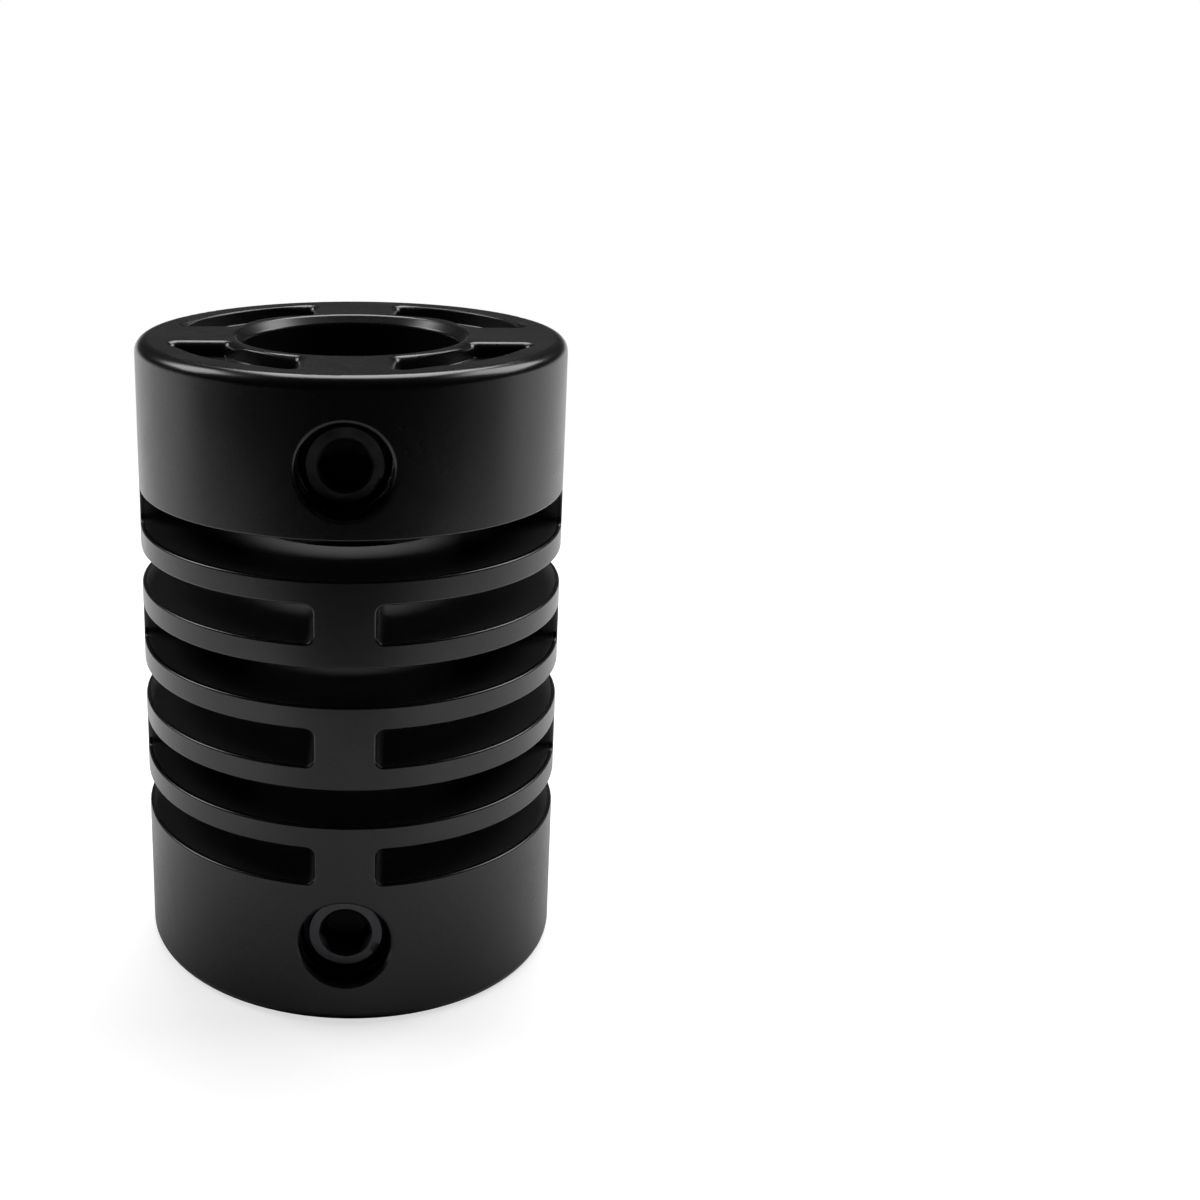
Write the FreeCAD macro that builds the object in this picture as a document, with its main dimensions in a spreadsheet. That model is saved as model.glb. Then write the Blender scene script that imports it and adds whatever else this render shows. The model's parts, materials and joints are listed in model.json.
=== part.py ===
import FreeCAD
import Part
import Sketcher
import os

# A one-piece moulded slit coupling that joins two shafts of one size, end to end.
# The two hubs grip the shafts. Between them, crosswise slits leave thin rings, and each slit
# is bridged at two opposite places only, a quarter turn on from the slits beside it, so the
# middle bends while it still carries torque. One set screw in each hub holds its shaft.
# The axis is Z, the lower end face stands at Z = 0, and the set screws face -Y.

# Driving sizes in millimetres, as name, value and meaning.
SIZES = (
    ("outside_diameter", 20.0, "over the hubs and rings"),
    ("bore_diameter", 10.0, "bore for both shafts"),
    ("hub_height", 7.0, "solid hub from its end face to the first slit"),
    ("slit_height", 1.75, "opening of each slit along the axis"),
    ("ring_height", 1.1, "thickness of each ring between two slits"),
    ("slit_count_each_way", 3, "slits bridged at the sides, and as many at front and back"),
    ("bridge_width", 2.7, "width of the web that bridges a slit"),
    ("web_root_radius", 0.4, "rounding where a web meets a ring or hub"),
    ("rim_radius", 0.6, "rounding of the outer edge of each end face"),
    ("bore_lead_in", 0.4, "chamfer at the mouth of the bore"),
    ("bore_collar", 1.0, "wall of the collar round the bore in each end face"),
    ("rim_wall", 1.6, "wall of the rim outside the recesses"),
    ("spoke_width", 4.3, "width of each spoke between two recesses"),
    ("recess_count", 4, "recesses in each end face"),
    ("recess_depth", 0.7, "depth of the recesses"),
    ("recess_corner_radius", 0.3, "rounding of the recesses' corners"),
    ("screw_height", 4.0, "set screw axis above its end face"),
    ("screw_diameter", 4.0, "set screw over its thread"),
    ("screw_length", 3.0, "set screw from point to socket face"),
    ("screw_sink", 1.15, "socket face below the outside of the hub"),
    ("thread_clearance", 0.05, "gap round the set screw in its hole"),
    ("hole_mouth_radius", 0.2, "rounding round the mouth of the screw hole"),
    ("screw_end_chamfer", 0.35, "chamfer on both ends of the set screw"),
    ("socket_across_flats", 2.0, "hexagon socket of the set screw"),
    ("socket_depth", 1.5, "depth of the hexagon socket"),
    ("socket_mouth_chamfer", 0.06, "lead-in round the hexagon socket"),
    ("cup_diameter", 2.0, "hollow in the point of the set screw"),
    ("cup_depth", 0.5, "depth of that hollow"),
)

# Sizes that follow from the driving ones.
OUTER_RADIUS = "sizes.outside_diameter / 2"
BORE_RADIUS = "sizes.bore_diameter / 2"
SLIT_COUNT = "(2 * sizes.slit_count_each_way)"
SLIT_STEP = "(sizes.slit_height + sizes.ring_height)"
FULL_LENGTH = f"(2 * sizes.hub_height + {SLIT_COUNT} * {SLIT_STEP} - sizes.ring_height)"
HALF_BRIDGE = "sizes.bridge_width / 2"
SCREW_RADIUS = "sizes.screw_diameter / 2"
HOLE_RADIUS = f"({SCREW_RADIUS} + sizes.thread_clearance)"
# How far a cutting outline runs past the surface that it opens.
OVERRUN = "1"
TOLERANCE = 1e-6
# The mouth of a screw hole is a fitted curve, so it is found less sharply.
MOUTH_TOLERANCE = 1e-3

doc = FreeCAD.newDocument("shaft_coupling")


def make_sizes():
    """Put every driving size into the sheet, one named row each."""
    sheet = doc.addObject("Spreadsheet::Sheet", "sizes")
    for row, (name, number, meaning) in enumerate(SIZES, start=1):
        sheet.set(f"A{row}", name)
        sheet.set(f"B{row}", str(number))
        sheet.set(f"C{row}", meaning)
        sheet.setAlias(f"B{row}", name)
    doc.recompute()
    return sheet


sizes = make_sizes()


def read(expression):
    """The present value of an expression of the sheet's sizes."""
    return float(sizes.evalExpression(expression.replace("sizes.", "")))


def new_body(name):
    """An empty body whose label names the piece."""
    body = doc.addObject("PartDesign::Body", name)
    body.Label = name
    return body


def origin_part(body, role):
    """A plane or axis of the body's own origin, by its role."""
    return next(part for part in body.Origin.OriginFeatures if part.Role == role)


def new_sketch(body, name, plane, up="0", out="0"):
    """A sketch on an origin plane, moved up within the plane and out along its normal."""
    sketch = body.newObject("Sketcher::SketchObject", name)
    sketch.AttachmentSupport = [(origin_part(body, plane), "")]
    sketch.MapMode = "FlatFace"
    sketch.setExpression("AttachmentOffset.Base.y", up)
    sketch.setExpression("AttachmentOffset.Base.z", out)
    return sketch


def bind(sketch, constraint, expression):
    """Add a constraint of a length that follows an expression."""
    index = sketch.addConstraint(constraint)
    sketch.setExpression(f"Constraints[{index}]", expression)


def pin(sketch, line, end, across, up):
    """Hold one end of a line at a place given by two expressions."""
    for kind, axis, place in (("DistanceX", -2, across), ("DistanceY", -1, up)):
        if place == "0":
            sketch.addConstraint(Sketcher.Constraint("PointOnObject", line, end, axis))
        else:
            held = Sketcher.Constraint(kind, -1, 1, line, end, read(place))
            bind(sketch, held, place)


def draw_outline(sketch, corners):
    """Draw a closed outline of straight lines, with every corner held at its place."""
    first = sketch.GeometryCount
    points = [FreeCAD.Vector(read(across), read(up), 0) for across, up in corners]
    count = len(points)
    for index, point in enumerate(points):
        following = points[(index + 1) % count]
        sketch.addGeometry(Part.LineSegment(point, following), False)
    for index in range(count):
        following = first + (index + 1) % count
        joint = Sketcher.Constraint("Coincident", first + index, 2, following, 1)
        sketch.addConstraint(joint)
    for index, (across, up) in enumerate(corners):
        pin(sketch, first + index, 1, across, up)


def add_feature(body, kind, name, sketch, **settings):
    """Add a feature made from a sketch, and set its properties."""
    feature = body.newObject(f"PartDesign::{kind}", name)
    feature.Profile = sketch
    for setting, value in settings.items():
        setattr(feature, setting, value)
    return feature


def pattern(body, kind, name, feature, occurrences, **settings):
    """Repeat a feature, and make the repeated form the body's result."""
    repeat = body.newObject(f"PartDesign::{kind}", name)
    repeat.Originals = [feature]
    repeat.setExpression("Occurrences", occurrences)
    for setting, value in settings.items():
        setattr(repeat, setting, value)
    body.Tip = repeat
    return repeat


def edges_where(shape, test):
    """Names of the edges of a shape that pass a test."""
    return [f"Edge{index}" for index, edge in enumerate(shape.Edges, start=1) if test(edge)]


def dress(body, kind, name, size, size_name, test):
    """Round or bevel the edges that pass a test."""
    doc.recompute()
    base = body.Tip
    edges = edges_where(base.Shape, test)
    if not edges:
        raise ValueError(f"{name} found no edge")
    feature = body.newObject(f"PartDesign::{kind}", name)
    feature.Base = (base, edges)
    feature.setExpression(size_name, size)
    doc.recompute()
    return feature


def radius_of(point):
    """Distance of a point from the coupling's axis."""
    return (point.x ** 2 + point.y ** 2) ** 0.5


def near(one, other):
    """True where two lengths are equal."""
    return abs(one - other) < TOLERANCE


def all_points(edge, test):
    """True where both ends and the middle of an edge pass a test."""
    middle = edge.valueAt((edge.FirstParameter + edge.LastParameter) / 2)
    return all(test(point) for point in [vertex.Point for vertex in edge.Vertexes] + [middle])


def make_blank(body):
    """The plain tube that the hubs, rings and webs are parts of."""
    profile = new_sketch(body, "blank_profile", "XZ_Plane")
    corners = (
        (BORE_RADIUS, "0"),
        (OUTER_RADIUS, "0"),
        (OUTER_RADIUS, FULL_LENGTH),
        (BORE_RADIUS, FULL_LENGTH),
    )
    draw_outline(profile, corners)
    add_feature(body, "Revolution", "blank", profile, ReferenceAxis=(profile, ["V_Axis"]))


def finish_end_edges(body):
    """Round the rims of the end faces, and bevel the mouths of the bore."""
    outer = read(OUTER_RADIUS)
    bore = read(BORE_RADIUS)
    length = read(FULL_LENGTH)

    def on_end_circle(edge, radius):
        return all_points(
            edge,
            lambda point: near(radius_of(point), radius)
            and (near(point.z, 0) or near(point.z, length)),
        )

    def on_rim(edge):
        return on_end_circle(edge, outer)

    def on_bore_mouth(edge):
        return on_end_circle(edge, bore)

    dress(body, "Fillet", "rims", "sizes.rim_radius", "Radius", on_rim)
    dress(body, "Chamfer", "lead_ins", "sizes.bore_lead_in", "Size", on_bore_mouth)


def cut_slits(body, name, plane, first_height):
    """Cut the slits that share one pair of bridges, which lie on the normal of the plane."""
    doc.recompute()
    sketch = new_sketch(body, f"{name}_profile", plane)
    top = f"{first_height} + sizes.slit_height"
    for side in ("", "-"):
        inner = f"{side}{HALF_BRIDGE}"
        outer = f"{side}({OUTER_RADIUS} + {OVERRUN})"
        corners = ((inner, first_height), (outer, first_height), (outer, top), (inner, top))
        draw_outline(sketch, corners)
    cut = add_feature(body, "Pocket", f"{name}_slit", sketch, Type="Length", Midplane=True)
    cut.setExpression("Length", f"sizes.outside_diameter + {OVERRUN}")
    repeat = pattern(
        body,
        "LinearPattern",
        f"{name}_slits",
        cut,
        "sizes.slit_count_each_way",
        Direction=(origin_part(body, "Z_Axis"), [""]),
    )
    repeat.setExpression("Length", f"2 * {SLIT_STEP} * (sizes.slit_count_each_way - 1)")


def finish_slits(body):
    """Round the roots of the webs."""
    half_bridge = read(HALF_BRIDGE)
    hub = read("sizes.hub_height")
    length = read(FULL_LENGTH)

    def at_web_root(edge):
        return edge.Curve.TypeId == "Part::GeomLine" and all_points(
            edge,
            lambda point: near(min(abs(point.x), abs(point.y)), half_bridge)
            and hub - TOLERANCE < point.z < length - hub + TOLERANCE,
        ) and near(edge.Vertexes[0].Z, edge.Vertexes[-1].Z)

    dress(body, "Fillet", "web_roots", "sizes.web_root_radius", "Radius", at_web_root)


def draw_recess(sketch):
    """Draw one recess between two spokes, bounded by the collar and the rim."""
    half_spoke = "sizes.spoke_width / 2"
    offset = read(half_spoke)
    arcs = []
    reaches = []
    for bound in (f"({BORE_RADIUS} + sizes.bore_collar)", f"({OUTER_RADIUS} - sizes.rim_wall)"):
        radius = read(bound)
        reach = (radius ** 2 - offset ** 2) ** 0.5
        start = FreeCAD.Vector(reach, offset, 0)
        middle = FreeCAD.Vector(radius, radius, 0) * 0.5 ** 0.5
        finish = FreeCAD.Vector(offset, reach, 0)
        arc = sketch.addGeometry(Part.Arc(start, middle, finish), False)
        sketch.addConstraint(Sketcher.Constraint("Coincident", arc, 3, -1, 1))
        bind(sketch, Sketcher.Constraint("Radius", arc, radius), bound)
        arcs.append(arc)
        reaches.append(reach)
    inner_reach, outer_reach = reaches
    low_start = FreeCAD.Vector(inner_reach, offset, 0)
    low_finish = FreeCAD.Vector(outer_reach, offset, 0)
    high_start = FreeCAD.Vector(offset, inner_reach, 0)
    high_finish = FreeCAD.Vector(offset, outer_reach, 0)
    low = sketch.addGeometry(Part.LineSegment(low_start, low_finish), False)
    high = sketch.addGeometry(Part.LineSegment(high_start, high_finish), False)
    for line, arc_end in ((low, 1), (high, 2)):
        for line_end, arc in enumerate(arcs, start=1):
            sketch.addConstraint(Sketcher.Constraint("Coincident", line, line_end, arc, arc_end))
    sketch.addConstraint(Sketcher.Constraint("Horizontal", low))
    sketch.addConstraint(Sketcher.Constraint("Vertical", high))
    bind(sketch, Sketcher.Constraint("DistanceY", -1, 1, low, 1, offset), half_spoke)
    bind(sketch, Sketcher.Constraint("DistanceX", -1, 1, high, 1, offset), half_spoke)


def cut_recesses(body, name, height, upwards):
    """Sink the recesses into one end face."""
    doc.recompute()
    sketch = new_sketch(body, f"{name}_recess_profile", "XY_Plane", out=height)
    draw_recess(sketch)
    cut = add_feature(body, "Pocket", f"{name}_recess", sketch, Type="Length", Reversed=upwards)
    cut.setExpression("Length", "sizes.recess_depth")
    pattern(
        body,
        "PolarPattern",
        f"{name}_recesses",
        cut,
        "sizes.recess_count",
        Axis=(origin_part(body, "Z_Axis"), [""]),
        Angle=360,
    )


def finish_recesses(body):
    """Round the upright corners of the recesses."""
    depth = read("sizes.recess_depth")
    collar = read(f"{BORE_RADIUS} + sizes.bore_collar")
    rim = read(f"{OUTER_RADIUS} - sizes.rim_wall")

    def within_band(point):
        return collar - TOLERANCE < radius_of(point) < rim + TOLERANCE

    def is_corner(edge):
        return near(edge.BoundBox.ZLength, depth) and all_points(edge, within_band)

    corner_size = "sizes.recess_corner_radius"
    dress(body, "Fillet", "recess_corners", corner_size, "Radius", is_corner)


def cut_screw_hole(body, name, height):
    """Cut a screw hole from the bore out through the front, and round its mouth."""
    doc.recompute()
    sketch = new_sketch(body, f"{name}_hole_profile", "YZ_Plane", up=height)
    inside = f"-{BORE_RADIUS} / 2"
    outside = f"-({OUTER_RADIUS} + {OVERRUN})"
    corners = ((inside, "0"), (inside, HOLE_RADIUS), (outside, HOLE_RADIUS), (outside, "0"))
    draw_outline(sketch, corners)
    add_feature(body, "Groove", f"{name}_hole", sketch, ReferenceAxis=(sketch, ["H_Axis"]))

    axis_height = read(height)
    hole = read(HOLE_RADIUS)
    outer = read(OUTER_RADIUS)

    def on_mouth(point):
        from_hole_axis = (point.x ** 2 + (point.z - axis_height) ** 2) ** 0.5
        return (
            abs(from_hole_axis - hole) < MOUTH_TOLERANCE
            and abs(radius_of(point) - outer) < MOUTH_TOLERANCE
        )

    def is_mouth(edge):
        return all_points(edge, on_mouth)

    mouth_size = "sizes.hole_mouth_radius"
    dress(body, "Fillet", f"{name}_hole_mouth", mouth_size, "Radius", is_mouth)


def make_coupling():
    """The moulded piece."""
    body = new_body("coupling_body")
    make_blank(body)
    finish_end_edges(body)
    cut_slits(body, "front_bridged", "XZ_Plane", "sizes.hub_height")
    cut_slits(body, "side_bridged", "YZ_Plane", f"sizes.hub_height + {SLIT_STEP}")
    finish_slits(body)
    cut_recesses(body, "lower", "0", True)
    cut_recesses(body, "upper", FULL_LENGTH, False)
    finish_recesses(body)
    cut_screw_hole(body, "lower", "sizes.screw_height")
    cut_screw_hole(body, "upper", f"{FULL_LENGTH} - sizes.screw_height")
    return body


def make_set_screw(name, height):
    """A socket set screw with a cup point, its axis along its own Z and its point at 0."""
    body = new_body(name)
    profile = new_sketch(body, f"{name}_profile", "XZ_Plane")
    chamfered = f"{SCREW_RADIUS} - sizes.screw_end_chamfer"
    corners = (
        ("0", "sizes.cup_depth"),
        ("sizes.cup_diameter / 2", "0"),
        (chamfered, "0"),
        (SCREW_RADIUS, "sizes.screw_end_chamfer"),
        (SCREW_RADIUS, "sizes.screw_length - sizes.screw_end_chamfer"),
        (chamfered, "sizes.screw_length"),
        ("0", "sizes.screw_length"),
    )
    draw_outline(profile, corners)
    add_feature(body, "Revolution", f"{name}_blank", profile, ReferenceAxis=(profile, ["V_Axis"]))

    doc.recompute()
    socket = new_sketch(body, f"{name}_hexagon", "XY_Plane", out="sizes.screw_length")
    corner = "sizes.socket_across_flats / sqrt(3)"
    flat = "sizes.socket_across_flats / 2"
    corners = (
        (corner, "0"),
        (f"{corner} / 2", flat),
        (f"-{corner} / 2", flat),
        (f"-{corner}", "0"),
        (f"-{corner} / 2", f"-{flat}"),
        (f"{corner} / 2", f"-{flat}"),
    )
    draw_outline(socket, corners)
    cut = add_feature(body, "Pocket", f"{name}_socket", socket, Type="Length")
    cut.setExpression("Length", "sizes.socket_depth")

    doc.recompute()
    mouth = new_sketch(body, f"{name}_mouth_profile", "XZ_Plane")
    top = "sizes.screw_length"
    wide = f"{corner} + sizes.socket_mouth_chamfer"
    drop = f"({corner} - {flat} + sizes.socket_mouth_chamfer)"
    corners = (("0", f"{top} - {drop}"), (flat, f"{top} - {drop}"), (wide, top), ("0", top))
    draw_outline(mouth, corners)
    add_feature(body, "Groove", f"{name}_mouth", mouth, ReferenceAxis=(mouth, ["V_Axis"]))

    # The point faces the shaft and the socket faces the front.
    point_radius = f"({OUTER_RADIUS} - sizes.screw_sink - sizes.screw_length)"
    body.Placement.Rotation = FreeCAD.Rotation(FreeCAD.Vector(1, 0, 0), 90)
    body.setExpression("Placement.Base.y", f"-{point_radius}")
    body.setExpression("Placement.Base.z", height)
    return body


def check_features(bodies):
    """Stop where a feature failed, or where a cut removed nothing."""
    for item in doc.Objects:
        if "Invalid" in item.State or "Error" in item.State:
            raise ValueError(f"{item.Name} failed: {item.State}")
    for body in bodies:
        if body.Shape.isNull() or not body.Shape.isValid() or len(body.Shape.Solids) != 1:
            raise ValueError(f"{body.Label} isn't one valid solid")
        volume = None
        for feature in body.Group:
            if not feature.isDerivedFrom("PartDesign::Feature"):
                continue
            previous, volume = volume, feature.Shape.Volume
            if previous is not None and near(previous, volume):
                raise ValueError(f"{feature.Name} changed nothing")


coupling = make_coupling()
lower_screw = make_set_screw("set_screw_lower", "sizes.screw_height")
upper_screw = make_set_screw("set_screw_upper", f"{FULL_LENGTH} - sizes.screw_height")
doc.recompute()

pieces = (coupling, lower_screw, upper_screw)
check_features(pieces)
os.makedirs("parts", exist_ok=True)
for piece in pieces:
    piece.Shape.exportStep(f"parts/{piece.Label}.step")
    box = piece.Shape.BoundBox
    print(f"{piece.Label}: {piece.Shape.Volume:.2f} mm3, Y {box.YMin:.2f} to {box.YMax:.2f}, "
          f"Z {box.ZMin:.2f} to {box.ZMax:.2f}, {len(piece.Shape.Faces)} faces")
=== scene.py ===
# %% [markdown]
# A moulded slit coupling, dressed for its picture.
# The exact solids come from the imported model, in metres, with the shaft axis along Z.
# This script adds the small edge roundings, the screw threads, the finishes, the light and the camera.
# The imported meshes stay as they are: new meshes beside them carry everything that is added.
# Blender starts with a cube, a light and a camera of its own, which are taken out first.
# Every size below is a real one in millimetres, and Blender works in metres here.

# %% Load the frame
import json
import math

import bmesh
import bpy
from mathutils import Matrix, Vector

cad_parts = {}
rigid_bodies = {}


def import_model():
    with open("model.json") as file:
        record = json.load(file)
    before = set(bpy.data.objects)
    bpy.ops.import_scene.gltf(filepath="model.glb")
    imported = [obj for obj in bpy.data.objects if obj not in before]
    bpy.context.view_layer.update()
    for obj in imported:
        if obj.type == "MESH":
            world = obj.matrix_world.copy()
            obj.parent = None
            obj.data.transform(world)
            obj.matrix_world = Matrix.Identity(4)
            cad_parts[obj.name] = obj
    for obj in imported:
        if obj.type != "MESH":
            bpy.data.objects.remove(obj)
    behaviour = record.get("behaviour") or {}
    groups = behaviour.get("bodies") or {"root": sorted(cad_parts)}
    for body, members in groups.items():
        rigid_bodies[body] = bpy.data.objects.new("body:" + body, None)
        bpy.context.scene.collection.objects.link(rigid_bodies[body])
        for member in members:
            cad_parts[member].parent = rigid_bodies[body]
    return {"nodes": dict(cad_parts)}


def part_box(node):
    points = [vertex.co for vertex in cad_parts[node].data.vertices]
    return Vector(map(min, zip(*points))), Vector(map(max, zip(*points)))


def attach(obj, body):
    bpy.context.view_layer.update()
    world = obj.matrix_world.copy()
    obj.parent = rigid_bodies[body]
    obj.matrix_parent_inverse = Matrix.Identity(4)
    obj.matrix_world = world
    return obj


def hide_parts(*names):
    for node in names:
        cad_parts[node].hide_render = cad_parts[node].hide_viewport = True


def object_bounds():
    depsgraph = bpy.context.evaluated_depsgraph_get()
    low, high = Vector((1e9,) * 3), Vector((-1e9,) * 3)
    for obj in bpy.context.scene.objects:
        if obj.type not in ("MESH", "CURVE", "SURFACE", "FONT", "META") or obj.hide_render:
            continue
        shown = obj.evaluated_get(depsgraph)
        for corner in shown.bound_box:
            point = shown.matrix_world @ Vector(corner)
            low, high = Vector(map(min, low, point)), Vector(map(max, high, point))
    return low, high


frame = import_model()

for name in ("Cube", "Light", "Camera"):
    leftover = bpy.data.objects.get(name)
    if leftover:
        bpy.data.objects.remove(leftover)

MM = 0.001
cad_low, cad_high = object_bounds()
CENTRE = (cad_low + cad_high) / 2
print("nodes:", sorted(frame["nodes"]))
print("CAD box, mm:", [round(side / MM, 2) for side in cad_high - cad_low])

# %% [markdown]
# The mould leaves no knife edge: every edge of the real plastic has a rounding of about a tenth of a
# millimetre, and that rounding is what catches the light along the slits.
# A bevel shader could fake it, but then the mesh would stay sharp, so it is modelled.
# The solid has already rounded its two rims and the mouths of its screw holes, so those stay as they are.
# The recesses in the ends are rounder than the other edges, so their outlines are picked by themselves.

# %% Which edges are rounded
SHARP_ABOVE = math.radians(40)
ON_END_FACE = 0.0005 * MM
OUTSIDE_RADIUS = cad_high.x
RIM_BAND = 0.75 * MM
RECESSES_FROM = 5.8 * MM
SCREW_NAMES = ("set_screw_lower", "set_screw_upper")
SCREW_HEIGHTS = [sum(corner.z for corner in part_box(name)) / 2 for name in SCREW_NAMES]
MOUTH_REACH = 2.6 * MM


def from_axis(point):
    """How far a point lies from the shaft axis."""
    return math.hypot(point.x, point.y)


def nearer_end(point):
    """The height of the end face on the point's side of the middle."""
    return cad_low.z if point.z < CENTRE.z else cad_high.z


def on_rim(point):
    """True on the two outer rims, which the solid has already rounded."""
    near_an_end = abs(point.z - nearer_end(point)) < RIM_BAND
    return near_an_end and from_axis(point) > OUTSIDE_RADIUS - RIM_BAND


def at_screw_hole(point):
    """True round the two screw holes, whose mouths the solid has already rounded."""
    if point.y > 0:
        return False
    return any(math.hypot(point.x, point.z - height) < MOUTH_REACH for height in SCREW_HEIGHTS)


def on_recess_outline(point):
    """True on the outline of an end recess, whose edge is rounder than the others."""
    on_end_face = abs(point.z - nearer_end(point)) < ON_END_FACE
    return on_end_face and RECESSES_FROM < from_axis(point) < OUTSIDE_RADIUS - RIM_BAND


def edges_to_round(shape, chosen):
    """The sharp edges that the solid leaves square, at the places that chosen picks."""
    edges = []
    for edge in shape.edges:
        middle = (edge.verts[0].co + edge.verts[1].co) / 2
        left_square = not on_rim(middle) and not at_screw_hole(middle)
        if left_square and chosen(middle) and edge.calc_face_angle(0) > SHARP_ABOVE:
            edges.append(edge)
    return edges


print("screw holes at heights, mm:", [round(height / MM, 2) for height in SCREW_HEIGHTS])

# %% [markdown]
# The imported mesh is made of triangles. Their doubled corners are welded and the flat areas are joined into
# single faces first, and then a bevel runs cleanly along each edge.
# A recess gets the same rounding all the way round. Along its two arcs the rounding then shrinks to a
# quarter, smoothly with the distance from the spoke, because the real edge is sharper there.
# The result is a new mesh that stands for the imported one, which is left untouched.

# %% Weld, join and round
WELD_GAP = 0.0005 * MM
FLAT_WITHIN = math.radians(0.4)
ROUND_STEPS = 3
CIRCULAR = 0.5
EDGE_ROUND = 0.10 * MM
RECESS_ROUND = 0.40 * MM
RECESS_RADII = (6.0 * MM, 8.4 * MM)
SPOKE_HALF = 2.15 * MM
SHRINK_FROM = 0.20 * MM
SHRINK_TO = 1.80 * MM
ARC_SHARE = 0.25


def smooth_step(value):
    """0 up to 0, 1 from 1 on, and a smooth rise between."""
    value = min(max(value, 0.0), 1.0)
    return value * value * (3 - 2 * value)


def round_off(shape, edges, width):
    """Round the edges to a width, and give the new faces."""
    rounded = bmesh.ops.bevel(
        shape, geom=edges, offset=width, segments=ROUND_STEPS, profile=CIRCULAR, affect="EDGES",
    )
    return rounded["faces"]


def sharpen_arcs(faces):
    """Shrink the roundings of the recesses along their two arcs, away from the spokes."""
    for vertex in {corner for face in faces for corner in face.verts}:
        point = vertex.co
        radius = from_axis(point)
        past_spoke = min(abs(point.x), abs(point.y)) - SPOKE_HALF
        shrunk = smooth_step((past_spoke - SHRINK_FROM) / (SHRINK_TO - SHRINK_FROM))
        share = 1 - (1 - ARC_SHARE) * shrunk
        edge_radius = min(RECESS_RADII, key=lambda arc: abs(arc - radius))
        new_radius = edge_radius + (radius - edge_radius) * share
        x, y = (side * new_radius / radius for side in (point.x, point.y))
        end = nearer_end(point)
        vertex.co = (x, y, end + (point.z - end) * share)


def rounded_shape(packed):
    """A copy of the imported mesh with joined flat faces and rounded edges, and the set of its new faces."""
    shape = bmesh.new()
    shape.from_mesh(packed)
    bmesh.ops.remove_doubles(shape, verts=shape.verts, dist=WELD_GAP)
    bmesh.ops.dissolve_limit(shape, angle_limit=FLAT_WITHIN, verts=shape.verts, edges=shape.edges)
    plain_edges = edges_to_round(shape, lambda point: not on_recess_outline(point))
    roundings = set(round_off(shape, plain_edges, EDGE_ROUND))
    recess_edges = edges_to_round(shape, on_recess_outline)
    recess_roundings = round_off(shape, recess_edges, RECESS_ROUND)
    sharpen_arcs(recess_roundings)
    roundings.update(recess_roundings)
    return shape, {face for face in roundings if face.is_valid}


shape, roundings = rounded_shape(frame["nodes"]["coupling_body"].data)
open_edges = sum(not edge.is_manifold for edge in shape.edges)
print("rounded body:", len(shape.faces), "faces,", len(roundings), "of them roundings")
print("open edges:", open_edges)

# %% [markdown]
# Shading asks each corner of each face which way the surface looks there.
# On the turned surfaces the answer is known exactly: on the outside it is straight away from the shaft
# axis, and in the bore straight towards it. The Z of a face's direction tells a side from a level end.
# Elsewhere it is the mean of the faces that meet smoothly at the corner.
# A rounding takes the answer of the large face beside it, so the large faces stay flat to the eye.

# %% Exact directions on the turned surfaces
ON_CYLINDER = 0.03 * MM
BORE_RADIUS = 5.0 * MM
RIM_RADIUS = 0.6 * MM
HOLE_RADIUS = 2.05 * MM
MOUTH_ROUND = 0.20 * MM
MOUTH_RADIUS = 2.35 * MM
SIDE_BELOW = 0.1
LEVEL_ABOVE = 0.999
SMALL_ANGLE = 0.001
NEAREST_STEPS = 3


def round_the_axis(face, point):
    """The exact direction on the outside or in the bore, or None elsewhere."""
    for radius, sign in ((OUTSIDE_RADIUS, 1), (BORE_RADIUS, -1)):
        on_cylinder = all(abs(from_axis(corner.co) - radius) < ON_CYLINDER for corner in face.verts)
        if on_cylinder and abs(face.normal.z) < SIDE_BELOW:
            return sign * Vector((point.x, point.y, 0)).normalized()
    return None


def round_the_rim(face, point):
    """The exact direction on the two rims, away from the middle of their rounding, or None elsewhere."""
    if not all(on_rim(corner.co) for corner in face.verts) or abs(face.normal.z) > LEVEL_ABOVE:
        return None
    middle = Vector((point.x, point.y, 0)).normalized() * (OUTSIDE_RADIUS - RIM_RADIUS)
    middle.z = cad_low.z + RIM_RADIUS if point.z < CENTRE.z else cad_high.z - RIM_RADIUS
    away = point - middle
    return away.normalized() if away.length > RIM_RADIUS / 2 else None


def middle_of_mouth(height, angle):
    """The middle of the rounding of a screw hole's mouth, at an angle round the hole."""
    radius = HOLE_RADIUS + MOUTH_ROUND
    across = radius * math.cos(angle)
    depth = math.sqrt((OUTSIDE_RADIUS - MOUTH_ROUND) ** 2 - across ** 2)
    return Vector((across, -depth, height + radius * math.sin(angle)))


def round_a_screw_hole(face, point):
    """The exact direction on a screw hole's wall or the rounding of its mouth, or None elsewhere."""
    for height in SCREW_HEIGHTS:
        reach = max(math.hypot(corner.co.x, corner.co.z - height) for corner in face.verts)
        if point.y > 0 or reach > MOUTH_RADIUS:
            continue
        angle = math.atan2(point.z - height, point.x)
        if point.y > middle_of_mouth(height, angle).y:
            return -Vector((point.x, 0, point.z - height)).normalized()
        for _ in range(NEAREST_STEPS):
            middle = middle_of_mouth(height, angle)
            along = (middle_of_mouth(height, angle + SMALL_ANGLE) - middle) / SMALL_ANGLE
            angle += (point - middle).dot(along) / along.length_squared
        return (point - middle_of_mouth(height, angle)).normalized()
    return None


def exact_direction(face, point):
    """The exact direction on any turned surface, or None on the rest."""
    return round_the_axis(face, point) or round_the_rim(face, point) or round_a_screw_hole(face, point)


turned_radii = (OUTSIDE_RADIUS, BORE_RADIUS, HOLE_RADIUS)
print("outside, bore and screw hole radii, mm:", [round(radius / MM, 2) for radius in turned_radii])

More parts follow.
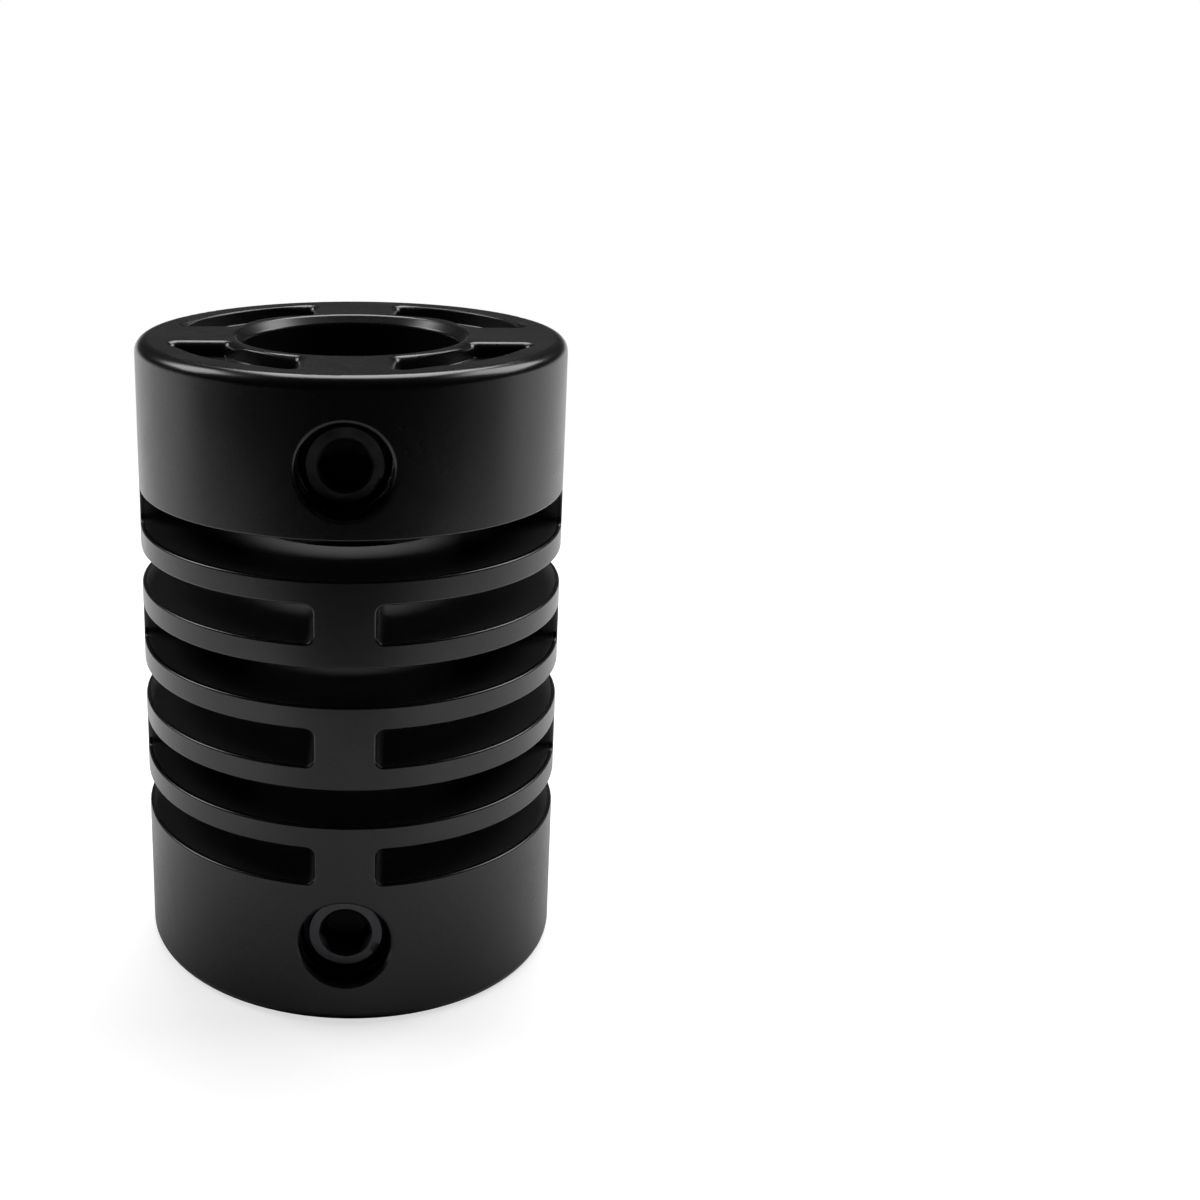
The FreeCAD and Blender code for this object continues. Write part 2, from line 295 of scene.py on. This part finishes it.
# %% Shading directions for every corner
SMOOTH_BELOW = math.radians(44)


def corner_direction(corner, roundings):
    """The shading direction of one corner of one face."""
    face, vertex = corner.face, corner.vert
    if face not in roundings:
        exact = exact_direction(face, vertex.co)
        if exact:
            return exact
    total = Vector()
    for other in vertex.link_loops:
        if other.face in roundings or other.face.normal.angle(face.normal) > SMOOTH_BELOW:
            continue
        exact = exact_direction(other.face, vertex.co)
        total += (exact or other.face.normal) * other.calc_angle()
    if total.length == 0:
        for other in vertex.link_loops:
            total += other.face.normal * other.calc_angle()
    return total.normalized()


def polish_of(vertex, roundings):
    """1 in the middle of a rounded edge, where handling polishes the plastic, and 0 elsewhere."""
    worn = all(face in roundings or round_the_rim(face, vertex.co) for face in vertex.link_faces)
    return 1.0 if worn else 0.0


def mesh_of(name, shape, attribute, values):
    """The shape as a smooth mesh, with a number at each corner that its finish can read."""
    mesh = bpy.data.meshes.new(name)
    shape.to_mesh(mesh)
    shape.free()
    mesh.shade_smooth()
    mesh.attributes.new(attribute, "FLOAT", "POINT").data.foreach_set("value", values)
    return mesh


def add_object(name, data):
    """A new object in the scene, for a mesh, a lamp or a camera."""
    thing = bpy.data.objects.new(name, data)
    bpy.context.scene.collection.objects.link(thing)
    return thing


def finished_piece(name, shape, roundings):
    """An object with the shape's mesh, its exact shading and its polished edges."""
    shape.normal_update()
    polish = [polish_of(vertex, roundings) for vertex in shape.verts]
    directions = [corner_direction(corner, roundings) for face in shape.faces for corner in face.loops]
    mesh = mesh_of(name, shape, "edge_polish", polish)
    mesh.normals_split_custom_set(directions)
    return add_object(name, mesh)


coupling = finished_piece("moulded_coupling", shape, roundings)
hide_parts("coupling_body")
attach(coupling, "root")
print("moulded coupling:", len(coupling.data.vertices), "corners")

# %% [markdown]
# Colours are written as the hex values that a painter would pick from a screen.
# The renderer needs linear light, so one function turns each hex value into it.
# A screen's levels follow a straight line near black and a power curve above it.

# %% Colours
STRAIGHT_BELOW = 0.04045
STRAIGHT_SLOPE = 12.92
CURVE_OFFSET = 0.055
CURVE_POWER = 2.4


def linear(hex_colour):
    """A linear RGBA colour from an sRGB hex value such as 1a1a1c."""
    channels = []
    for start in (0, 2, 4):
        level = int(hex_colour[start:start + 2], 16) / 255
        if level <= STRAIGHT_BELOW:
            channels.append(level / STRAIGHT_SLOPE)
        else:
            channels.append(((level + CURVE_OFFSET) / (1 + CURVE_OFFSET)) ** CURVE_POWER)
    return (*channels, 1.0)


print("mid grey in linear light:", [round(level, 3) for level in linear("808080")[:3]])

# %% [markdown]
# A material is a small graph of nodes. One function adds a node, sets its sockets and joins its inputs,
# so that each finish further down reads as a short list of what feeds what.
# A mix node repeats its sockets' names for each kind of data, so its colours are reached by number.
# Arithmetic takes many small nodes, so a second function chains those.

# %% Functions for nodes
FIRST_COLOUR = 6
SECOND_COLOUR = 7
MIXED_COLOUR = 2


def add_node(tree, kind, settings=None, links=None):
    """Add a node. A setting is a property or an input's value, and a link is an output for an input."""
    node = tree.nodes.new(kind)
    for name, value in (settings or {}).items():
        if isinstance(name, str) and hasattr(node, name):
            setattr(node, name, value)
        else:
            node.inputs[name].default_value = value
    for name, output in (links or {}).items():
        tree.links.new(output, node.inputs[name])
    return node


def calculate(tree, operation, *inputs):
    """The output of one arithmetic node. An input is a number or another output."""
    node = add_node(tree, "ShaderNodeMath", {"operation": operation})
    for index, value in enumerate(inputs):
        if isinstance(value, (int, float)):
            node.inputs[index].default_value = value
        else:
            tree.links.new(value, node.inputs[index])
    return node.outputs["Value"]


def new_material(name):
    """An empty node material and its tree."""
    material = bpy.data.materials.new(name)
    material.use_nodes = True
    material.node_tree.nodes.clear()
    return material, material.node_tree


print("a mix node's colours are its inputs", FIRST_COLOUR, "and", SECOND_COLOUR)

# %% [markdown]
# The screw holes are tapped. Their thread is finer than the picture can show as shape, so it is a bump that
# runs as a helix round each hole's axis. The two holes lie the same way above and below the middle, so one
# formula serves both once the height is measured from the middle.
# The plastic is duller inside the slits than outside, and the same measures tell where that is.

# %% Where the thread and the slits are
HOLE_FROM_MIDDLE = (SCREW_HEIGHTS[1] - SCREW_HEIGHTS[0]) / 2
TAPPED_PITCH = 0.70 * MM
TAPPED_REACH = 2.12 * MM
HALF_A_WAVE = 0.5
INSIDE_RADIUS = 9.80 * MM
INSIDE_HALF_HEIGHT = 8.05 * MM


def long_side(tree, first, second):
    """The long side of a right triangle with these two short ones."""
    squares = [calculate(tree, "POWER", side, 2.0) for side in (first, second)]
    return calculate(tree, "SQRT", calculate(tree, "ADD", *squares))


def tapped_thread(tree, x, y, from_middle):
    """A wave that climbs as a helix round the screw holes' axes, and is level everywhere else."""
    above = calculate(tree, "SUBTRACT", from_middle, HOLE_FROM_MIDDLE)
    turns = calculate(tree, "DIVIDE", calculate(tree, "ARCTAN2", above, x), 2 * math.pi)
    pitches = calculate(tree, "DIVIDE", y, TAPPED_PITCH)
    wave = calculate(tree, "PINGPONG", calculate(tree, "ADD", pitches, turns), HALF_A_WAVE)
    in_hole = calculate(tree, "LESS_THAN", long_side(tree, x, above), TAPPED_REACH)
    in_front = calculate(tree, "LESS_THAN", y, 0.0)
    return calculate(tree, "MULTIPLY", wave, calculate(tree, "MULTIPLY", in_hole, in_front))


def inside_the_slits(tree, x, y, from_middle):
    """1 between the hubs and within the outside, and 0 elsewhere."""
    between = calculate(tree, "LESS_THAN", from_middle, INSIDE_HALF_HEIGHT)
    within = calculate(tree, "LESS_THAN", long_side(tree, x, y), INSIDE_RADIUS)
    return calculate(tree, "MULTIPLY", between, within)


print("screw holes from the middle, mm:", round(HOLE_FROM_MIDDLE / MM, 2))

# %% [markdown]
# The body is polyamide with short glass fibres, injection moulded and black right through.
# The mould's fine spark texture makes it satin: dark from the front, pale where it is seen edge on.
# The plastic flowed round the bore as it filled the mould, which leaves faint cloudy bands of gloss.
# Edges that hands and boxes touch are a little smoother than the faces beside them.
# Inside the slits the mould steel is left as it was cut, so the plastic is dull there.
# The bands and the grain come from noise, and nearly all its values lie in NOISE_RANGE.

# %% Gloss and grain of the plastic
NOISE_RANGE = {"From Min": 0.3, "From Max": 0.7}
DULL = 0.30
GLOSSY = 0.24
POLISHED_EDGE = 0.05
DULLER_INSIDE = 0.25
TAPPED_DEPTH = 0.20 * MM
TAPPED_STRENGTH = 1.0
GRAIN_SIZE = 0.12 * MM
GRAIN_DETAIL = 2.0
GRAIN_DEPTH = 0.004 * MM
GRAIN_STRENGTH = 0.3


def plastic_roughness(tree, cloud, inside):
    """Cloudy bands, a little smoother on worn edges and duller inside the slits."""
    bands = add_node(
        tree, "ShaderNodeMapRange", {**NOISE_RANGE, "To Min": DULL, "To Max": GLOSSY}, {"Value": cloud},
    )
    worn = add_node(tree, "ShaderNodeAttribute", {"attribute_name": "edge_polish"})
    polish = calculate(tree, "MULTIPLY", worn.outputs["Fac"], POLISHED_EDGE)
    duller = calculate(tree, "MULTIPLY", inside, DULLER_INSIDE)
    return calculate(tree, "ADD", calculate(tree, "SUBTRACT", bands.outputs["Result"], polish), duller)


def plastic_relief(tree, place, thread):
    """The shading direction over the thread in the screw holes and the fine grain of the mould."""
    threaded = add_node(
        tree, "ShaderNodeBump", {"Strength": TAPPED_STRENGTH, "Distance": TAPPED_DEPTH}, {"Height": thread},
    )
    grain = add_node(
        tree, "ShaderNodeTexNoise", {"Scale": 1 / GRAIN_SIZE, "Detail": GRAIN_DETAIL}, {"Vector": place},
    )
    grained = add_node(
        tree, "ShaderNodeBump", {"Strength": GRAIN_STRENGTH, "Distance": GRAIN_DEPTH},
        {"Height": grain.outputs["Fac"], "Normal": threaded.outputs["Normal"]},
    )
    return grained.outputs["Normal"]


print("roughness from", GLOSSY, "to", DULL, "and up to", round(DULL + DULLER_INSIDE, 2), "in the slits")

# %% Moulded polyamide
POLYAMIDE_DARK = linear("0a0a0b")
POLYAMIDE_LIGHT = linear("101012")
POLYAMIDE_IOR = 1.53
CLOUD_SIZE = 4.0 * MM
CLOUD_DETAIL = 4.0
CLOUD_DISTORTION = 0.8


def moulded_polyamide():
    """Satin black moulded plastic with a fine grain, cloudy gloss and smoother edges."""
    material, tree = new_material("moulded_polyamide_black")
    place = add_node(tree, "ShaderNodeTexCoord").outputs["Object"]
    parts = add_node(tree, "ShaderNodeSeparateXYZ", links={"Vector": place})
    from_middle = calculate(tree, "ABSOLUTE", calculate(tree, "SUBTRACT", parts.outputs["Z"], CENTRE.z))
    where = (parts.outputs["X"], parts.outputs["Y"], from_middle)
    cloud = add_node(
        tree, "ShaderNodeTexNoise",
        {"Scale": 1 / CLOUD_SIZE, "Detail": CLOUD_DETAIL, "Distortion": CLOUD_DISTORTION},
        {"Vector": place},
    )
    tone = add_node(
        tree, "ShaderNodeMix",
        {"data_type": "RGBA", FIRST_COLOUR: POLYAMIDE_DARK, SECOND_COLOUR: POLYAMIDE_LIGHT},
        {"Factor": cloud.outputs["Fac"]},
    )
    roughness = plastic_roughness(tree, cloud.outputs["Fac"], inside_the_slits(tree, *where))
    relief = plastic_relief(tree, place, tapped_thread(tree, *where))
    surface = add_node(
        tree, "ShaderNodeBsdfPrincipled", {"IOR": POLYAMIDE_IOR},
        {"Base Color": tone.outputs[MIXED_COLOUR], "Roughness": roughness, "Normal": relief},
    )
    add_node(tree, "ShaderNodeOutputMaterial", links={"Surface": surface.outputs["BSDF"]})
    return material


coupling.data.materials.append(moulded_polyamide())
print("finish of the coupling:", coupling.data.materials[0].name)

# %% [markdown]
# One set screw in each hub clamps the shaft. It is a standard M4 screw with a hexagon socket and a cup
# point.
# Its thread is a helix that is too fine for the solid model, so the screw is built again here, row by row.
# Each row is a ring of corners at one place along the axis, and its radius at each angle follows the thread.
# Both ends are chamfered, so the thread fades out there as it does on a real screw.

# %% Sizes of the set screw
SCREW_STEPS = 120
ANGLES = [2 * math.pi * step / SCREW_STEPS for step in range(SCREW_STEPS)]
THREAD_PITCH = 0.70 * MM
THREAD_CREST = 2.0 * MM
THREAD_ROOT = 1.60 * MM
THREAD_ROWS_PER_TURN = 24
HALF_A_TURN = 0.5
CREST_HALF = 0.03
ROOT_HALF = 0.07
SCREW_CHAMFER = 0.35 * MM
CUP_RADIUS = 1.0 * MM
CUP_DEPTH = 0.5 * MM
SIXTH_OF_A_TURN = math.pi / 3
SOCKET_FLAT = 1.0 * MM
SOCKET_CORNER = SOCKET_FLAT / math.cos(SIXTH_OF_A_TURN / 2)
SOCKET_CHAMFER = 0.06 * MM
SOCKET_MOUTH = SOCKET_CORNER + SOCKET_CHAMFER
SOCKET_DEPTH = 1.5 * MM
DRILL_CONE = 0.25 * MM


def thread_radius(along, angle):
    """The thread's radius: sloping flanks that round off at the crest and the root, wound to the right."""
    turn = (along / THREAD_PITCH - angle / (2 * math.pi)) % 1.0
    from_crest = min(turn, 1 - turn)
    drop = smooth_step((from_crest - CREST_HALF) / (HALF_A_TURN - ROOT_HALF - CREST_HALF))
    return THREAD_CREST - (THREAD_CREST - THREAD_ROOT) * drop


def hexagon_radius(angle):
    """The socket's radius at an angle, with two corners on the X axis."""
    return SOCKET_FLAT / math.cos((angle % SIXTH_OF_A_TURN) - SIXTH_OF_A_TURN / 2)


print("socket across its corners, mm:", round(2 * SOCKET_CORNER / MM, 2))

# %% [markdown]
# The rows run from the cup's edge along the thread to the socket's floor.
# The socket's mouth is a cone that the six walls cut low on the flats and high at the corners.
# Two cones close the ends: the cup, and the one that the drill leaves at the socket's floor.

# %% Set screws
SOCKET_REACH = 1.2 * MM


def screw_rows(length):
    """For each row, its place along the axis and its radius at each angle."""
    rows = [[(0.0, CUP_RADIUS) for _ in ANGLES]]
    count = round(length / THREAD_PITCH * THREAD_ROWS_PER_TURN)
    for step in range(count + 1):
        along = length * step / count
        widest = THREAD_CREST - max(0.0, SCREW_CHAMFER - min(along, length - along))
        rows.append([(along, min(thread_radius(along, angle), widest)) for angle in ANGLES])
    walls = [hexagon_radius(angle) for angle in ANGLES]
    rows.append([(length, SOCKET_MOUTH) for _ in ANGLES])
    rows.append([(length - (SOCKET_MOUTH - radius), radius) for radius in walls])
    rows.append([(length - SOCKET_DEPTH, radius) for radius in walls])
    return rows


def screw_shape(length, point_end, height):
    """A closed surface through the rows. They run from the point's end towards the front, at a height."""
    shape = bmesh.new()
    rings = []
    for row in screw_rows(length):
        places = [
            (radius * math.cos(angle), point_end - along, height + radius * math.sin(angle))
            for (along, radius), angle in zip(row, ANGLES)
        ]
        rings.append([shape.verts.new(place) for place in places])
    for ring, following in zip(rings, rings[1:]):
        for step in range(SCREW_STEPS):
            after = (step + 1) % SCREW_STEPS
            shape.faces.new((ring[step], ring[after], following[after], following[step]))
    for ring, depth in ((rings[0], CUP_DEPTH), (rings[-1], length - SOCKET_DEPTH - DRILL_CONE)):
        tip = shape.verts.new((0, point_end - depth, height))
        for step in range(SCREW_STEPS):
            shape.faces.new((ring[step], tip, ring[(step + 1) % SCREW_STEPS]))
    bmesh.ops.recalc_face_normals(shape, faces=shape.faces)
    return shape


def is_in_socket(point, socket_end, height):
    """1 inside the socket, and 0 on the rest of the screw."""
    deep = socket_end < point.y < socket_end + SOCKET_DEPTH + DRILL_CONE
    return 1.0 if deep and math.hypot(point.x, point.z - height) < SOCKET_REACH else 0.0


def make_screw(name):
    """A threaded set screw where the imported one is, its point towards the shaft."""
    low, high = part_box(name)
    height = (low.z + high.z) / 2
    length = high.y - low.y
    shape = screw_shape(length, high.y, height)
    socket_end = high.y - (length - SOCKET_CHAMFER)
    in_socket = [is_in_socket(vertex.co, socket_end, height) for vertex in shape.verts]
    mesh = mesh_of(name + "_threaded", shape, "in_socket", in_socket)
    mesh.set_sharp_from_angle(angle=SHARP_ABOVE)
    screw = add_object(name + "_threaded", mesh)
    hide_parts(name)
    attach(screw, "root")
    return screw


screws = [make_screw(name) for name in SCREW_NAMES]
for screw in screws:
    print(screw.name, len(screw.data.polygons), "faces")

# %% [markdown]
# The screws are alloy steel with a black oxide finish, a thin layer grown in a hot bath.
# To the eye it is a metal, but a dark one with a soft oily sheen, a little uneven from place to place.
# The socket's inside is painted darker still, as painted shade in the recess.

# %% Black oxide steel
OXIDE_MOTTLE = 0.6 * MM
OXIDE_DETAIL = 4.0
OXIDE_SHEEN = {"To Min": 0.32, "To Max": 0.48}
OXIDE_DARK = linear("424245")
OXIDE_LIGHT = linear("606064")
SOCKET_PAINTED_SHADE = linear("1a1a1b")


def black_oxide_steel():
    """Steel with a black oxide layer."""
    material, tree = new_material("black_oxide_steel")
    place = add_node(tree, "ShaderNodeTexCoord")
    mottle = add_node(
        tree, "ShaderNodeTexNoise", {"Scale": 1 / OXIDE_MOTTLE, "Detail": OXIDE_DETAIL},
        {"Vector": place.outputs["Object"]},
    )
    sheen = add_node(
        tree, "ShaderNodeMapRange", {**NOISE_RANGE, **OXIDE_SHEEN}, {"Value": mottle.outputs["Fac"]},
    )
    tone = add_node(
        tree, "ShaderNodeMix",
        {"data_type": "RGBA", FIRST_COLOUR: OXIDE_DARK, SECOND_COLOUR: OXIDE_LIGHT},
        {"Factor": mottle.outputs["Fac"]},
    )
    # Painted shade: inside the socket the colour is mixed towards a near-black one.
    socket = add_node(tree, "ShaderNodeAttribute", {"attribute_name": "in_socket"})
    tone_with_painted_shade = add_node(
        tree, "ShaderNodeMix", {"data_type": "RGBA", SECOND_COLOUR: SOCKET_PAINTED_SHADE},
        {"Factor": socket.outputs["Fac"], FIRST_COLOUR: tone.outputs[MIXED_COLOUR]},
    )
    surface = add_node(
        tree, "ShaderNodeBsdfPrincipled", {"Metallic": 1.0},
        {"Base Color": tone_with_painted_shade.outputs[MIXED_COLOUR], "Roughness": sheen.outputs["Result"]},
    )
    add_node(tree, "ShaderNodeOutputMaterial", links={"Surface": surface.outputs["BSDF"]})
    return material


steel = black_oxide_steel()
for screw in screws:
    screw.data.materials.append(steel)
print("finish of the screws:", steel.name)

# %% [markdown]
# The coupling stands on a sheet of pale card. The camera looks down, so the card is the whole background.
# Near the coupling it is matt card that takes the soft shadow, with a glow of its own that only the camera
# sees, so that it prints as white paper does.
# A painted pool of light on either side, a glow that only mirrors see, makes the card brighter there than in
# front.

# %% Card near the coupling
CARD_COLOUR = linear("cecece")
CARD_ROUGHNESS = 0.9
CARD_GLOW = 0.66
PAINTED_POOL_FROM = 8 * MM
PAINTED_POOL_FULL = 30 * MM
PAINTED_POOL_LEVEL = 0.40
WHITE = linear("ffffff")
SMOOTH = {"interpolation_type": "SMOOTHSTEP"}


def in_a_mirror(tree, ray):
    """1 where the card or the room is seen in a mirroring or clear surface, and 0 elsewhere."""
    return calculate(tree, "MAXIMUM", ray.outputs["Is Glossy Ray"], ray.outputs["Is Transmission Ray"])


def matt_card(tree, ray, aside):
    """Matt pale card. The camera sees a glow on it, and mirrors see a painted pool of light on each of its
    two sides.
    """
    painted_pool = add_node(
        tree, "ShaderNodeMapRange",
        {**SMOOTH, "From Min": PAINTED_POOL_FROM, "From Max": PAINTED_POOL_FULL, "To Max": PAINTED_POOL_LEVEL},
        {"Value": calculate(tree, "ABSOLUTE", aside)},
    )
    seen = calculate(tree, "MULTIPLY", ray.outputs["Is Camera Ray"], CARD_GLOW)
    # Painted pools of light: a glow that only mirrors see, rising towards either side.
    mirrored = calculate(tree, "MULTIPLY", in_a_mirror(tree, ray), painted_pool.outputs["Result"])
    card = add_node(
        tree, "ShaderNodeBsdfPrincipled",
        {
            "Base Color": CARD_COLOUR, "Roughness": CARD_ROUGHNESS, "Specular IOR Level": 0.0,
            "Emission Color": WHITE,
        },
        {"Emission Strength": calculate(tree, "MAXIMUM", seen, mirrored)},
    )
    return card.outputs["BSDF"]


print("pools of light from", round(PAINTED_POOL_FROM / MM), "to", round(PAINTED_POOL_FULL / MM), "mm on either side")

# %% [markdown]
# Farther off the glow takes over, as a lit backdrop would.
# Mirrors see it bright behind the coupling and dim before it, and the camera sees it white everywhere.
# The card ends a little way in front of the coupling, where the picture doesn't reach.
# The dark room beyond it is what the upper part of the black plastic mirrors.

# %% White card
CARD_BACK = 600 * MM
CARD_SIDE = 600 * MM
CARD_FRONT = 52 * MM
GLOW_FROM = 55 * MM
GLOW_FULL = 110 * MM
BRIGHT_FROM = -48 * MM
BRIGHT_FULL = 20 * MM
DIM_FRONT = 0.08


def white_card():
    """Matt pale card that prints white and glows white far from the object."""
    material, tree = new_material("white_card")
    place = add_node(tree, "ShaderNodeTexCoord").outputs["Object"]
    parts = add_node(tree, "ShaderNodeSeparateXYZ", links={"Vector": place})
    ray = add_node(tree, "ShaderNodeLightPath")
    backwards = add_node(
        tree, "ShaderNodeMapRange",
        {**SMOOTH, "From Min": BRIGHT_FROM, "From Max": BRIGHT_FULL, "To Min": DIM_FRONT},
        {"Value": parts.outputs["Y"]},
    )
    white = calculate(tree, "MAXIMUM", ray.outputs["Is Camera Ray"], backwards.outputs["Result"])
    glow = add_node(tree, "ShaderNodeEmission", {"Color": WHITE}, {"Strength": white})
    distance = add_node(tree, "ShaderNodeVectorMath", {"operation": "LENGTH"}, {"Vector": place})
    fade = add_node(
        tree, "ShaderNodeMapRange", {**SMOOTH, "From Min": GLOW_FROM, "From Max": GLOW_FULL},
        {"Value": distance.outputs["Value"]},
    )
    near_card = matt_card(tree, ray, parts.outputs["X"])
    mixed = add_node(
        tree, "ShaderNodeMixShader",
        links={0: fade.outputs["Result"], 1: near_card, 2: glow.outputs["Emission"]},
    )
    add_node(tree, "ShaderNodeOutputMaterial", links={"Surface": mixed.outputs["Shader"]})
    return material


def make_floor():
    """The white card, as one flat face."""
    mesh = bpy.data.meshes.new("floor")
    corners = [
        (-CARD_SIDE, -CARD_FRONT, 0), (CARD_SIDE, -CARD_FRONT, 0),
        (CARD_SIDE, CARD_BACK, 0), (-CARD_SIDE, CARD_BACK, 0),
    ]
    mesh.from_pydata(corners, [], [(0, 1, 2, 3)])
    mesh.materials.append(white_card())
    floor = add_object("floor", mesh)


make_floor()
print("card:", round(2 * CARD_SIDE / MM), "mm wide")

# %% [markdown]
# The world is the room round the card. The camera sees it as white, like the card.
# Reflections see white too where they look past the card, as if it went on and curved up into a backdrop.
# The backdrop fades out at about five degrees above the horizon. Above it and in front the room is dim.

# %% Room
ROOM_LEVEL = 0.030
FRONT_LEVEL = 0.01
BACKDROP_FULL = -0.04
BACKDROP_TOP = 0.08
BEHIND_FROM = -0.5
BEHIND_FULL = 0.1


def light_the_room():
    """A world that is white to the camera, and to reflections a dim room over white ground."""
    world = bpy.data.worlds.new("studio_room")
    bpy.context.scene.world = world
    world.use_nodes = True
    tree = world.node_tree
    tree.nodes.clear()
    ray = add_node(tree, "ShaderNodeLightPath")
    place = add_node(tree, "ShaderNodeTexCoord")
    way = add_node(tree, "ShaderNodeSeparateXYZ", links={"Vector": place.outputs["Generated"]})
    below = add_node(
        tree, "ShaderNodeMapRange", {"From Min": BACKDROP_TOP, "From Max": BACKDROP_FULL},
        {"Value": way.outputs["Z"]},
    )
    behind = add_node(
        tree, "ShaderNodeMapRange", {"From Min": BEHIND_FROM, "From Max": BEHIND_FULL},
        {"Value": way.outputs["Y"]},
    )
    room = add_node(
        tree, "ShaderNodeMapRange", {"To Min": FRONT_LEVEL, "To Max": ROOM_LEVEL},
        {"Value": behind.outputs["Result"]},
    )
    ground = calculate(tree, "MULTIPLY", below.outputs["Result"], behind.outputs["Result"])
    mirrored = calculate(tree, "MULTIPLY", ground, in_a_mirror(tree, ray))
    white = calculate(tree, "MAXIMUM", ray.outputs["Is Camera Ray"], mirrored)
    level = calculate(tree, "MAXIMUM", white, room.outputs["Result"])
    background = add_node(tree, "ShaderNodeBackground", {"Color": WHITE}, {"Strength": level})
    add_node(tree, "ShaderNodeOutputWorld", links={"Surface": background.outputs["Background"]})


light_the_room()
print("room level:", ROOM_LEVEL)

# %% [markdown]
# Three soft lamps stand around and above the coupling, all of them beside or behind it, and none in front.
# The two at the sides light the outer strip of each ring's top and the edges of the recesses.
# The one high up behind draws the bright line along the front of the rim.
# So the middle of the front stays dark, as it does on black plastic with nothing bright to mirror.
# Each line below gives a lamp's name, its angles aside of the front and up in degrees, its side in
# millimetres and its power in watts.

# %% Lamps
LAMP_DISTANCE = 390 * MM
LAMPS = (
    ("right_softbox", 112, 42, 220, 0.75),
    ("left_softbox", -108, 40, 180, 0.55),
    ("back_softbox", 176, 62, 260, 1.15),
)


def add_lamp(name, aside, elevation, side, power):
    """A square soft lamp, aimed at the coupling from an angle aside of the front and above the card."""
    data = bpy.data.lights.new(name, "AREA")
    data.size = side * MM
    data.energy = power
    lamp = add_object(name, data)
    turn = math.radians(aside)
    way = Vector((math.sin(turn), -math.cos(turn), math.tan(math.radians(elevation))))
    lamp.location = CENTRE + LAMP_DISTANCE * way.normalized()
    lamp.rotation_euler = way.to_track_quat("Z", "Y").to_euler()
    return lamp


for lamp_sizes in LAMPS:
    lamp = add_lamp(*lamp_sizes)
    print(lamp.name, "at, mm:", [round(value / MM) for value in lamp.location])

# %% [markdown]
# The camera repeats the photograph: a close view from about eight centimetres, looking down by 16 degrees.
# Its place was worked out from the cylinder's outline and the heights of its slits.
# The picture is a cut from a larger one, so the lens is shifted to put the coupling left of the middle.

# %% Camera
SENSOR_MM = 36.0
LENS_MM = 48.939
NEAREST_SEEN = 1 * MM
CAMERA_DISTANCE = 74.85 * MM
CAMERA_HEIGHT = 43.35 * MM
LOOK_DOWN = math.radians(16.171)
ROUND_THE_OBJECT = math.radians(1.6)
SHIFT_RIGHT = 0.2075
SHIFT_DOWN = 0.0777


def add_camera():
    """The photograph's camera."""
    data = bpy.data.cameras.new("camera")
    data.sensor_width = SENSOR_MM
    data.lens = LENS_MM
    data.shift_x = SHIFT_RIGHT
    data.shift_y = -SHIFT_DOWN
    data.clip_start = NEAREST_SEEN
    camera = add_object("camera", data)
    bpy.context.scene.camera = camera
    round_the_object = Matrix.Rotation(ROUND_THE_OBJECT, 4, "Z")
    stand = Matrix.Translation((0, -CAMERA_DISTANCE, CAMERA_HEIGHT))
    down = Matrix.Rotation(math.radians(90) - LOOK_DOWN, 4, "X")
    camera.matrix_world = round_the_object @ stand @ down
    return camera


camera = add_camera()
print("camera at, mm:", [round(value / MM, 1) for value in camera.matrix_world.translation])

# %% Finish
bpy.context.scene.view_settings.view_transform = "Standard"
